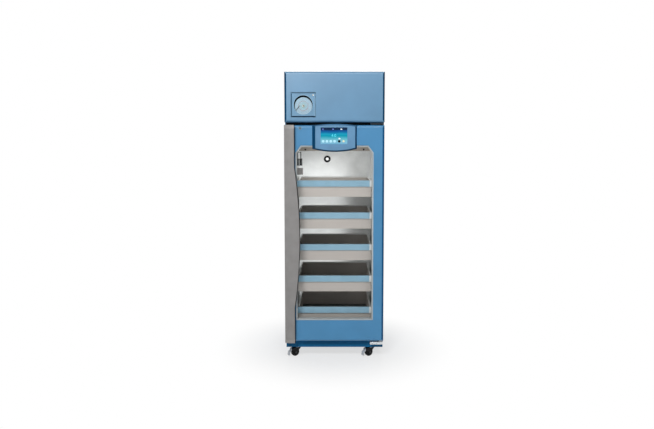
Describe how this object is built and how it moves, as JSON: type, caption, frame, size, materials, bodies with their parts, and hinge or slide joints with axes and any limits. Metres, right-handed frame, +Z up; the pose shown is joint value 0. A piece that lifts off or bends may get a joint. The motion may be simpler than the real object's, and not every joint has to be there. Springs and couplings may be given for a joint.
{
  "type": "blood bank refrigerator",
  "caption": "Upright glass-door medical refrigerator with slide-out drawers, lift-up header with a chart recorder, and a wheeled base.",
  "frame": {"origin": "on the floor under the middle of the object's bounding box", "axes": "+Z up, the door faces -Y, +X to the right as seen from the front"},
  "size_m": [0.692, 0.834, 2.035],
  "materials": {
    "blue_paint": "satin",
    "dark_blue_paint": "satin",
    "zinc_sheet": "satin",
    "insulation": "matte",
    "white_liner": "satin",
    "white_paint": "satin",
    "black_paint": "satin",
    "fins": "satin",
    "copper_pipe": "satin",
    "cooler_paint": "satin",
    "lamp": "gloss",
    "bright_steel": "polished",
    "black_rubber": "matte",
    "grey_rubber": "matte",
    "white_plastic": "satin",
    "grey_plastic": "satin",
    "black_plastic": "satin",
    "glazing": "gloss",
    "blue_plastic": "satin",
    "display": "gloss",
    "chart_paper": "matte",
    "drawer_sheet": "satin",
    "grip_blue": "satin",
    "tyre_rubber": "matte"
  },
  "bodies": {
    "cabinet": {"base_frame": "dark_blue_paint", "outer_shell": "blue_paint", "rear_panel": "zinc_sheet", "foam_insulation": "insulation", "inner_liner": "white_liner", "machine_deck": "zinc_sheet", "compressor": "black_paint", "condenser_coil": "fins", "fan_shroud": "black_plastic", "refrigerant_lines": "copper_pipe", "control_box": "grey_plastic", "cooler_housing": "cooler_paint", "evaporator_coil": "fins", "light_strip": "lamp", "drawer_rails": "white_paint", "hinge_brackets": "bright_steel", "port_grommet": "black_rubber", "probe_leads": "black_rubber", "probe_bottles": "white_plastic", "sensor_housing": "grey_plastic", "caster_plates": "zinc_sheet"},
    "door": {"door_skin": "blue_paint", "door_inner_panel": "white_paint", "window_seal": "grey_rubber", "glass_panes": "glazing", "door_gasket": "black_rubber", "door_handle": "grey_plastic", "display_bezel": "blue_plastic", "display_screen": "display", "lock_body": "bright_steel"},
    "lock": {"lock_plug": "bright_steel"},
    "header": {"header_cover": "blue_paint", "recorder_case": "blue_plastic"},
    "recorder_cover": {"recorder_door": "blue_plastic", "recorder_window": "glazing"},
    "chart": {"chart_disc": "chart_paper"},
    "pen": {"pen_arm": "black_plastic"},
    "condenser_blower": {"condenser_fan": "black_plastic"},
    "cooler_blower": {"cooler_fan": "black_plastic"},
    "mains_switch": {"power_switch": "black_plastic"},
    "drawer_1": {"drawer_box_1": "drawer_sheet", "drawer_grip_1": "grip_blue"},
    "drawer_2": {"drawer_box_2": "drawer_sheet", "drawer_grip_2": "grip_blue"},
    "drawer_3": {"drawer_box_3": "drawer_sheet", "drawer_grip_3": "grip_blue"},
    "drawer_4": {"drawer_box_4": "drawer_sheet", "drawer_grip_4": "grip_blue"},
    "drawer_5": {"drawer_box_5": "drawer_sheet", "drawer_grip_5": "grip_blue"},
    "caster_fl": {"caster_fork_fl": "black_paint"},
    "wheel_fl": {"caster_wheel_fl": "tyre_rubber"},
    "caster_fr": {"caster_fork_fr": "black_paint"},
    "wheel_fr": {"caster_wheel_fr": "tyre_rubber"},
    "caster_rl": {"caster_fork_rl": "black_paint"},
    "wheel_rl": {"caster_wheel_rl": "tyre_rubber"},
    "caster_rr": {"caster_fork_rr": "black_paint"},
    "wheel_rr": {"caster_wheel_rr": "tyre_rubber"},
    "brake_fl": {"brake_pedal_fl": "grey_plastic"},
    "brake_fr": {"brake_pedal_fr": "grey_plastic"}
  },
  "joints": [
    {"name": "door_hinge", "type": "hinge", "parent": "cabinet", "child": "door", "pos_m": [0.328, -0.333, 0.908], "axis": [0, 0, 1], "range_deg": [0, 120]},
    {"name": "drawer_1_slide", "type": "slide", "parent": "cabinet", "child": "drawer_1", "axis": [0, -1, 0], "range_m": [0, 0.42]},
    {"name": "drawer_2_slide", "type": "slide", "parent": "cabinet", "child": "drawer_2", "axis": [0, -1, 0], "range_m": [0, 0.42]},
    {"name": "drawer_3_slide", "type": "slide", "parent": "cabinet", "child": "drawer_3", "axis": [0, -1, 0], "range_m": [0, 0.42]},
    {"name": "drawer_4_slide", "type": "slide", "parent": "cabinet", "child": "drawer_4", "axis": [0, -1, 0], "range_m": [0, 0.42]},
    {"name": "drawer_5_slide", "type": "slide", "parent": "cabinet", "child": "drawer_5", "axis": [0, -1, 0], "range_m": [0, 0.42]},
    {"name": "lock_turn", "type": "hinge", "parent": "door", "child": "lock", "pos_m": [-0.238, -0.367, 1.649], "axis": [0, 1, 0], "range_deg": [0, 90]},
    {"name": "header_lift", "type": "hinge", "parent": "cabinet", "child": "header", "pos_m": [0, -0.311, 2.0285], "axis": [-1, 0, 0], "range_deg": [0, 75]},
    {"name": "recorder_door_hinge", "type": "hinge", "parent": "header", "child": "recorder_cover", "pos_m": [-0.2945, -0.3685, 1.809], "axis": [0, 0, -1], "range_deg": [0, 95]},
    {"name": "chart_turn", "type": "hinge", "parent": "header", "child": "chart", "pos_m": [-0.2155, -0.349, 1.802], "axis": [0, 1, 0], "continuous": true},
    {"name": "pen_swing", "type": "hinge", "parent": "header", "child": "pen", "pos_m": [-0.2815, -0.3515, 1.754], "axis": [0, 1, 0], "range_deg": [-10, 10]},
    {"name": "condenser_fan_spin", "type": "hinge", "parent": "cabinet", "child": "condenser_blower", "pos_m": [0.13, -0.153, 1.816], "axis": [0, 1, 0], "continuous": true},
    {"name": "cooler_fan_spin", "type": "hinge", "parent": "cabinet", "child": "cooler_blower", "pos_m": [0, -0.04, 1.51], "axis": [0, 0, 1], "continuous": true},
    {"name": "power_switch_rock", "type": "hinge", "parent": "cabinet", "child": "mains_switch", "pos_m": [-0.266, 0.401, 1.756], "axis": [1, 0, 0], "range_deg": [0, 20]},
    {"name": "caster_fl_swivel", "type": "hinge", "parent": "cabinet", "child": "caster_fl", "pos_m": [-0.268, -0.243, 0.068], "axis": [0, 0, 1], "continuous": true},
    {"name": "caster_fl_roll", "type": "hinge", "parent": "caster_fl", "child": "wheel_fl", "pos_m": [-0.28705, -0.254, 0.03], "axis": [0.5, -0.866, 0], "continuous": true},
    {"name": "brake_fl_release", "type": "hinge", "parent": "caster_fl", "child": "brake_fl", "pos_m": [-0.31217, -0.2685, 0.054], "axis": [-0.5, 0.866, 0], "range_deg": [0, 25]},
    {"name": "caster_fr_swivel", "type": "hinge", "parent": "cabinet", "child": "caster_fr", "pos_m": [0.268, -0.243, 0.068], "axis": [0, 0, 1], "continuous": true},
    {"name": "caster_fr_roll", "type": "hinge", "parent": "caster_fr", "child": "wheel_fr", "pos_m": [0.24895, -0.254, 0.03], "axis": [0.5, -0.866, 0], "continuous": true},
    {"name": "brake_fr_release", "type": "hinge", "parent": "caster_fr", "child": "brake_fr", "pos_m": [0.22383, -0.2685, 0.054], "axis": [-0.5, 0.866, 0], "range_deg": [0, 25]},
    {"name": "caster_rl_swivel", "type": "hinge", "parent": "cabinet", "child": "caster_rl", "pos_m": [-0.268, 0.357, 0.068], "axis": [0, 0, 1], "continuous": true},
    {"name": "caster_rl_roll", "type": "hinge", "parent": "caster_rl", "child": "wheel_rl", "pos_m": [-0.28705, 0.346, 0.03], "axis": [0.5, -0.866, 0], "continuous": true},
    {"name": "caster_rr_swivel", "type": "hinge", "parent": "cabinet", "child": "caster_rr", "pos_m": [0.268, 0.357, 0.068], "axis": [0, 0, 1], "continuous": true},
    {"name": "caster_rr_roll", "type": "hinge", "parent": "caster_rr", "child": "wheel_rr", "pos_m": [0.24895, 0.346, 0.03], "axis": [0.5, -0.866, 0], "continuous": true}
  ],
  "couplings": [
    {"joint": "drawer_1_slide", "follows": "door_hinge", "m_per_rad": 0.11},
    {"joint": "drawer_2_slide", "follows": "door_hinge", "m_per_rad": 0.11},
    {"joint": "drawer_3_slide", "follows": "door_hinge", "m_per_rad": 0.11},
    {"joint": "drawer_4_slide", "follows": "door_hinge", "m_per_rad": 0.11},
    {"joint": "drawer_5_slide", "follows": "door_hinge", "m_per_rad": 0.11}
  ]
}
